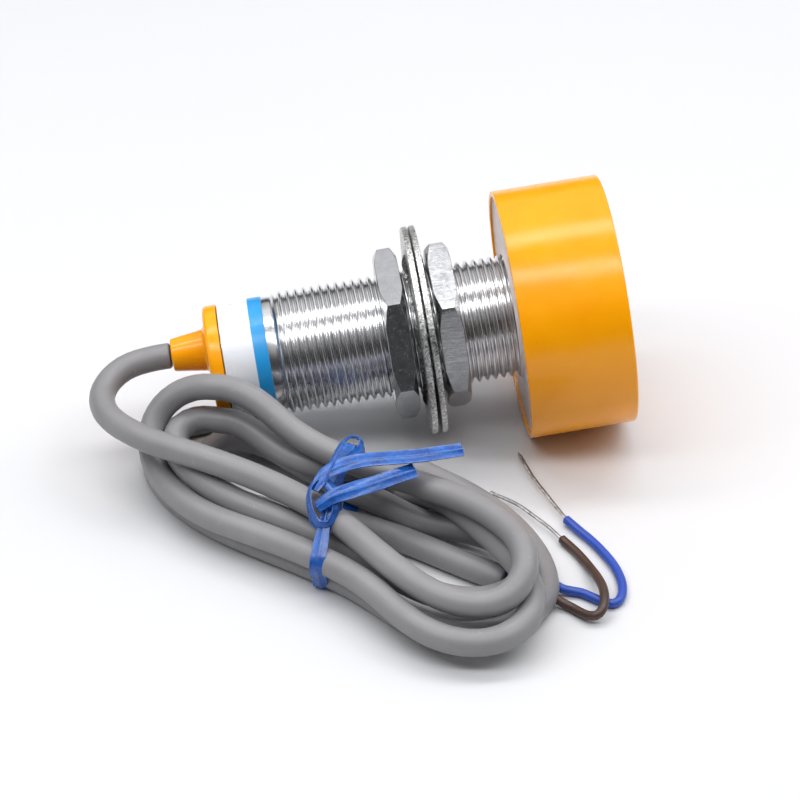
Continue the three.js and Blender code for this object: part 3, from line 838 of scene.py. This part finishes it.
def add_core(name, route, strand_route, node, strand_node, slot):
    """One insulated core and its bare end, which is six thin strands twisted round a seventh."""
    path = smooth_path(route, 0.8)
    wire = tube(name, path, WIRE_RADIUS, sides=14, end_round=0.15)
    place_piece(wire, "sensor", slot, [node])
    middle = smooth_path(strand_route, 0.35)
    _, one, two = frames_along(middle)
    along = np.linspace(0, length_of(middle), len(middle))
    loosened = 1 - np.clip((along[-1] - along) / LOOSE_END, 0, 1)
    ring = around(6)
    bm = bmesh.new()
    for k in range(7):
        out = 0.0 if k == 6 else STRAND_OUT + 0.1 * loosened
        turn = TAU * along / STRAND_TURN + k * TAU / 6
        line = middle + (out * np.cos(turn))[:, None] * one + (out * np.sin(turn))[:, None] * two
        line = line[: len(line) - 3 * (k % 3)]
        _, a, b = frames_along(line)
        rows = []
        for p, u, v in zip(line, a, b):
            rows.append([bm.verts.new(p + STRAND_RADIUS * (math.cos(w) * u + math.sin(w) * v)) for w in ring])
        grid_faces(bm, rows)
        bm.faces.new(rows[0][::-1])
        bm.faces.new(rows[-1])
    strands = finish_mesh(name + "_strands", bm, sharp_degrees=60)
    place_piece(strands, "sensor", "tinned_strands", [strand_node])
    return wire, strands, path


# The tie: a strap round the bundle, a knot on its near side, an open loop on top, and two loose tails.
TIE_CENTRE = np.array([-21.5, -50.5, 0])
TIE_ACROSS = unit([0.306, 0.952, 0])
TIE_ALONG = np.cross(TIE_ACROSS, UP)
TIE_WIDTH = 3.7
TIE_NARROWER = 1.5
TIE_KNOT_AT = (-24.5, -57, 18)
TIE_KNOT_REACH = 6
TIE_CLEARANCE = 0.35
# Each row of a ribbon is a point, the way its flat side faces, and its width.
TIE_TAIL_UPPER = [
    ((-26.2, -54.2, 21.6), (-0.6, -0.5, 0.6), 2.6), ((-23.4, -51.0, 23.6), (-0.2, -0.6, 0.8), 3.2),
    ((-19.6, -49.4, 24.6), (0, -0.45, 0.9), 3.7), ((-14, -48.5, 25), (0, -0.3, 0.95), 3.8),
    ((-8, -48.2, 24.9), (0, -0.3, 0.95), 3.8), ((-1, -47.6, 24.6), (0, -0.35, 0.95), 3.7),
    ((4.5, -46.4, 24.2), (0, -0.4, 0.95), 3.6), ((9.2, -45.0, 23.6), (0, -0.5, 0.9), 3.3),
]
TIE_TAIL_LOWER = [
    ((-26.0, -57.8, 19.4), (-0.5, -0.6, 0.5), 2.6), ((-22.4, -57.2, 21.6), (-0.2, -0.7, 0.7), 3.4),
    ((-17.8, -56.1, 22.3), (0, -0.6, 0.8), 3.8), ((-12.2, -54.2, 22.4), (0, -0.5, 0.85), 3.8),
    ((-7.4, -52, 22.3), (0, -0.5, 0.85), 3.7), ((-2.4, -49.6, 22), (0, -0.55, 0.85), 3.6),
]
TIE_LOOP = [
    ((-24.2, -53.0, 21.8), (-0.7, 0.2, 0.6), 3.0), ((-22.4, -49.2, 23.6), (-0.8, 0.3, 0.5), 3.6),
    ((-20.6, -45.6, 25), (-0.8, 0.3, 0.5), 3.8), ((-18.4, -42.6, 26.2), (-0.6, 0.5, 0.6), 3.6),
    ((-16.0, -41.2, 26.6), (0, 0.6, 0.8), 3.2), ((-14.2, -42.0, 25.9), (0.8, 0.3, 0.4), 3.0),
    ((-14.4, -44.4, 25), (0.8, -0.3, 0.3), 3.2), ((-17.0, -47.2, 24.2), (0.5, -0.5, 0.7), 3.4),
]
TIE_KNOT = [
    ((-25.0, -50.4, 22.2), (-0.3, 0.6, 0.7), 3.4), ((-27.2, -53.4, 21.4), (-0.9, 0.1, 0.3), 3.8),
    ((-27.6, -57, 18.9), (-0.9, -0.2, 0.1), 3.8), ((-26.2, -60.2, 16.4), (-0.4, -0.8, -0.2), 3.4),
    ((-23.8, -60.6, 16), (0.4, -0.8, -0.1), 3.2), ((-21.6, -58.6, 18.2), (0.8, -0.5, 0.3), 3.6),
    ((-21.6, -55.2, 20.8), (0.6, -0.2, 0.7), 3.4), ((-23.4, -52.2, 22.4), (0.1, 0.2, 0.9), 3.0),
]


def ribbon(bm, points, normals, widths, closed=False):
    """A flat strip with a thin wire's ridge along its middle."""
    normals = unit(normals)
    if closed:
        tangents = unit(np.roll(points, -1, axis=0) - np.roll(points, 1, axis=0))
    else:
        tangents = unit(np.gradient(points, axis=0))
    across = unit(np.cross(tangents, normals))
    facing = np.cross(across, tangents)
    # Its cross-section: across as a share of the width, and out in mm.
    section = [(-0.5, -0.14), (-0.5, 0.14), (-0.2, 0.16), (-0.1, 0.36), (0, 0.46), (0.1, 0.36), (0.2, 0.16),
               (0.5, 0.14), (0.5, -0.14), (0.14, -0.16), (0, -0.34), (-0.14, -0.16)]
    rows = []
    for p, a, f, w in zip(points, across, facing, widths):
        rows.append([bm.verts.new(p + x * w * a + y * f) for x, y in section])
    grid_faces(bm, rows, close_columns=closed)
    if not closed:
        bm.faces.new(rows[0])
        bm.faces.new(rows[-1][::-1])


def ribbon_rows(bm, rows):
    """A ribbon through listed rows."""
    points = smooth_path([row[0] for row in rows], 0.7)
    at_rows = np.r_[0, np.cumsum([math.dist(a[0], b[0]) for a, b in zip(rows, rows[1:])])]
    along = np.linspace(0, at_rows[-1], len(points))
    normals = np.stack([np.interp(along, at_rows, [row[1][k] for row in rows]) for k in range(3)], axis=1)
    widths = np.interp(along, at_rows, [row[2] for row in rows])
    ribbon(bm, points, normals, widths)


def turns_right(a, b, c):
    """Whether flat points a, b, c turn to the right or lie in one line."""
    return np.cross(np.subtract(b, a), np.subtract(c, b)) <= 0


def hull_of(points):
    """The convex outline of flat points, anticlockwise."""
    points = sorted(map(tuple, points))
    sides = []
    for order in (points, points[::-1]):
        chain = []
        for p in order:
            while len(chain) > 1 and turns_right(chain[-2], chain[-1], p):
                chain.pop()
            chain.append(p)
        sides += chain[:-1]
    return np.array(sides)


def strap_outline(path):
    """The tight outline, in the tie's plane, round all the turns of the cable that the plane cuts."""
    bundle_half = 40
    clear = CABLE_RADIUS + TIE_CLEARANCE
    side = (path - TIE_CENTRE) @ TIE_ALONG
    ring = around(24)
    points = []
    for i in np.nonzero(side[:-1] * side[1:] < 0)[0]:
        t = side[i] / (side[i] - side[i + 1])
        cut = path[i] + t * (path[i + 1] - path[i])
        u = (cut - TIE_CENTRE) @ TIE_ACROSS
        if abs(u) < bundle_half:
            slant = max(0.5, abs(unit(path[i + 1] - path[i]) @ TIE_ALONG))
            points += [(u + clear / slant * math.cos(w), max(TIE_CLEARANCE, cut[2] + clear * math.sin(w)))
                       for w in ring]
    outline = hull_of(points)
    closed = np.vstack([outline, outline[:1]])
    closed = np.column_stack([closed, np.zeros(len(closed))])
    return resampled(closed, 0.8)[:-1, :2]


def add_tie(path):
    """The tie as one piece, with its strap drawn in narrower beside the knot."""
    outline = strap_outline(path)
    points = TIE_CENTRE + outline[:, :1] * TIE_ACROSS + outline[:, 1:] * UP
    middle = points.mean(axis=0)
    along = np.roll(points, -1, axis=0) - np.roll(points, 1, axis=0)
    normals = np.cross(along, TIE_ALONG)
    normals *= np.sign(np.sum(normals * (points - middle), axis=1))[:, None]
    from_knot = np.linalg.norm(points - TIE_KNOT_AT, axis=1)
    widths = TIE_WIDTH - TIE_NARROWER * np.exp(-((from_knot / TIE_KNOT_REACH) ** 2))
    bm = bmesh.new()
    ribbon(bm, points, normals, widths, closed=True)
    for rows in (TIE_TAIL_UPPER, TIE_TAIL_LOWER, TIE_LOOP, TIE_KNOT):
        ribbon_rows(bm, rows)
    tie = finish_mesh("twist_tie", bm, sharp_degrees=50)
    place_piece(tie, "sensor", "tie_film", ["cable_tie"])


def add_cable():
    """The jacket, from inside the spout to its cut end."""
    path = settle_cable(cable_start_route())
    cable = tube("cable", path, CABLE_RADIUS, sides=20, end_round=0.35)
    place_piece(cable, "sensor", "grey_pvc", ["cable_lead", "cable_hank"])
    return cable, path


# ---------- floor, inner parts, and everything made ----------
def add_floor():
    """Pale paper with painted shade: it turns dark grey well in front of the object, where only bright metal
    reflects it.
    """
    data = bpy.data.meshes.new("floor")
    data.from_pydata([(-3, -3, 0), (3, -3, 0), (3, 3, 0), (-3, 3, 0)], [], [(0, 1, 2, 3)])
    floor = add_object("floor", data)
    s = Shader("floor_paper_with_painted_shade", 0.75)
    paper = s.clouds(300, (0.655, 0.66, 0.68), (0.67, 0.675, 0.695))
    place = s.nodes.new("ShaderNodeSeparateXYZ")
    s.links.new(s.place, place.inputs[0])
    # Painted shade: the paper is darkened from 0.26 m to 0.5 m in front, standing in for a dark studio there,
    # so that the metal reflects darkness.
    s.colour(s.mix(s.between(place.outputs["Y"], -0.26, -0.5), paper, (0.16, 0.16, 0.17)))
    data.materials.append(s.material)


def dress_inner_parts():
    """The parts inside the housing keep their own shapes, and take the finish of their slot."""
    slot_of = {p["node"]: p["material_slot"] for p in frame["record"]["subparts"]}
    for name, thing in frame["nodes"].items():
        dress(thing, slot_of[name])


MATERIALS = make_materials()
add_camera()
add_studio()
add_floor()
dress_inner_parts()
cable, cable_path = add_cable()
add_tie(cable_path)
blue = add_core("core_blue", BLUE_ROUTE, BLUE_STRANDS, "wire_blue", "strands_blue", "blue_pvc")
brown = add_core("core_brown", BROWN_ROUTE, BROWN_STRANDS, "wire_brown", "strands_brown", "brown_pvc")
add_head()
add_rear_cap()
add_label()
add_barrel()
add_nut("nut_rear", 54.2, 7)
add_nut("nut_front", 41.5, 15)
add_washer("washer_rear", 48.6, -0.5, 0)
add_washer("washer_front", 46.4, 0.35, 1)
